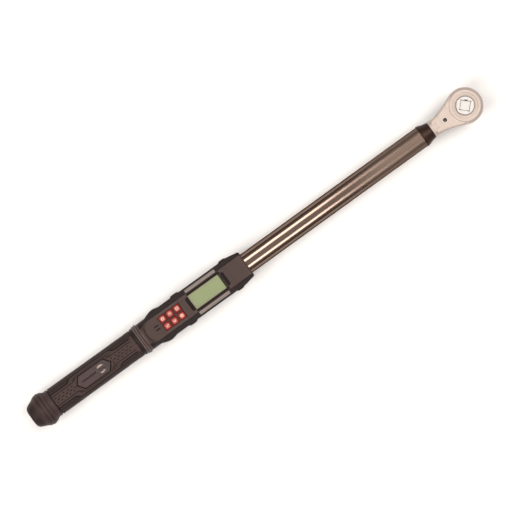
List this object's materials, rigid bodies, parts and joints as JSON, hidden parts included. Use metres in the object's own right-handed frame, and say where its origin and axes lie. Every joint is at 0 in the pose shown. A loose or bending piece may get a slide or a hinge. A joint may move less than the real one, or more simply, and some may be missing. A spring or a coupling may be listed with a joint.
{
  "type": "electronic torque wrench",
  "caption": "Electronic torque wrench with push-through square drive ratchet head, steel tube, display housing with keys, rubber grip and screw-off battery cap.",
  "frame": {"origin": "on the drive axis, where a socket seats against the hub's lower face", "axes": "+X along the tool towards the head, +Z out of the display face and opposite to the way the square points, +Y to the left"},
  "size_m": [0.6921, 0.0464, 0.0534],
  "materials": {
    "head_steel": "satin plated forging",
    "polished_steel": "ground and polished",
    "black_steel": "hardened and oiled",
    "plated_tube": "polished plating",
    "collar_black": "black anodised, satin",
    "alloy_steel": "machined",
    "spring_steel": "drawn wire",
    "housing_plastic": "fine moulded grain",
    "bezel_plastic": "satin moulding",
    "seal_rubber": "moulded",
    "key_rubber": "silicone, satin",
    "clear_lens": "clear window",
    "lcd_green": "reflective display",
    "lcd_border": "printed border",
    "light_guide": "frosted light guide",
    "board_green": "solder mask",
    "chip_black": "moulded package",
    "contact_brass": "nickel-flashed",
    "lead_copper": "insulated lead",
    "gauge_foil": "foil on film",
    "grip_rubber": "textured",
    "badge_plastic": "satin",
    "cap_plastic": "satin moulding",
    "inner_plastic": "moulded",
    "cell_wrap": "plain wrapped cells"
  },
  "bodies": {
    "wrench": {"head_body": "head_steel", "pawl_spring": "spring_steel", "stop_pin": "black_steel", "cover_plate": "head_steel", "wheel_seal": "seal_rubber", "retaining_ring": "black_steel", "nose_collar": "collar_black", "tube": "plated_tube", "torque_beam": "alloy_steel", "beam_pin": "black_steel", "strain_gauges": "gauge_foil", "gauge_lead": "lead_copper", "front_cap": "housing_plastic", "front_seal": "seal_rubber", "housing_upper": "housing_plastic", "housing_lower": "housing_plastic", "housing_gasket": "seal_rubber", "housing_screws": "black_steel", "light_bar_left": "light_guide", "light_bar_right": "light_guide", "display_bezel": "bezel_plastic", "lcd_lens": "clear_lens", "lcd_frame": "lcd_border", "lcd_panel": "lcd_green", "keypad_bezel": "bezel_plastic", "key_mat": "seal_rubber", "dome_switches": "contact_brass", "main_board": "board_green", "board_chips": "chip_black", "indicator_leds": "light_guide", "buzzer": "chip_black", "board_screws": "black_steel", "grip_collar": "cap_plastic", "handle_core": "inner_plastic", "grip": "grip_rubber", "grip_badge": "badge_plastic", "cap_seal": "seal_rubber", "battery_sleeve": "inner_plastic", "battery_cells": "cell_wrap", "positive_contact": "contact_brass", "contact_block": "inner_plastic", "battery_lead": "lead_copper"},
    "ratchet": {"ratchet_wheel": "polished_steel"},
    "drive": {"drive_square": "polished_steel", "detent_spring_lower": "spring_steel", "detent_spring_upper": "spring_steel"},
    "ball_lower": {"detent_ball_lower": "polished_steel"},
    "ball_upper": {"detent_ball_upper": "polished_steel"},
    "pawl": {"pawl": "black_steel"},
    "power_button": {"key_power": "key_rubber"},
    "up_button": {"key_up": "key_rubber"},
    "menu_button": {"key_menu": "key_rubber"},
    "enter_button": {"key_enter": "key_rubber"},
    "down_button": {"key_down": "key_rubber"},
    "units_button": {"key_units": "key_rubber"},
    "cap_contact": {"contact_disc": "contact_brass", "cap_spring": "spring_steel"},
    "battery_cap": {"end_cap": "cap_plastic"}
  },
  "joints": [
    {"name": "ratchet_spin", "type": "hinge", "parent": "wrench", "child": "ratchet", "pos_m": [0, 0, 0.0135], "axis": [0, 0, 1], "continuous": true},
    {"name": "drive_push", "type": "slide", "parent": "ratchet", "child": "drive", "axis": [0, 0, 1], "range_m": [0, 0.0155]},
    {"name": "ball_lower_press", "type": "slide", "parent": "drive", "child": "ball_lower", "axis": [-0.7071, -0.7071, 0], "range_m": [0, 0.0007], "stiffness_N_per_m": 1500, "springref_m": -0.0008, "deforming": ["detent_spring_lower"]},
    {"name": "ball_upper_press", "type": "slide", "parent": "drive", "child": "ball_upper", "axis": [-0.7071, -0.7071, 0], "range_m": [0, 0.0007], "stiffness_N_per_m": 1500, "springref_m": -0.0008, "deforming": ["detent_spring_upper"]},
    {"name": "pawl_lift", "type": "slide", "parent": "wrench", "child": "pawl", "axis": [-1, 0, 0], "range_m": [0, 0.0012], "stiffness_N_per_m": 2000, "springref_m": -0.001, "deforming": ["pawl_spring"]},
    {"name": "power_press", "type": "slide", "parent": "wrench", "child": "power_button", "axis": [0, 0, -1], "range_m": [0, 0.0008], "stiffness_N_per_m": 1500, "springref_m": -0.0005},
    {"name": "up_press", "type": "slide", "parent": "wrench", "child": "up_button", "axis": [0, 0, -1], "range_m": [0, 0.0008], "stiffness_N_per_m": 1500, "springref_m": -0.0005},
    {"name": "menu_press", "type": "slide", "parent": "wrench", "child": "menu_button", "axis": [0, 0, -1], "range_m": [0, 0.0008], "stiffness_N_per_m": 1500, "springref_m": -0.0005},
    {"name": "enter_press", "type": "slide", "parent": "wrench", "child": "enter_button", "axis": [0, 0, -1], "range_m": [0, 0.0008], "stiffness_N_per_m": 1500, "springref_m": -0.0005},
    {"name": "down_press", "type": "slide", "parent": "wrench", "child": "down_button", "axis": [0, 0, -1], "range_m": [0, 0.0008], "stiffness_N_per_m": 1500, "springref_m": -0.0005},
    {"name": "units_press", "type": "slide", "parent": "wrench", "child": "units_button", "axis": [0, 0, -1], "range_m": [0, 0.0008], "stiffness_N_per_m": 1500, "springref_m": -0.0005},
    {"name": "cap_travel", "type": "slide", "parent": "wrench", "child": "cap_contact", "axis": [-1, 0, 0], "range_m": [0, 0.00901]},
    {"name": "cap_turn", "type": "hinge", "parent": "cap_contact", "child": "battery_cap", "pos_m": [-0.65, 0, 0.0135], "axis": [-1, 0, 0], "range_deg": [0, 540]}
  ],
  "couplings": [
    {"joint": "cap_travel", "follows": "cap_turn", "m_per_rad": 0.00095493}
  ]
}
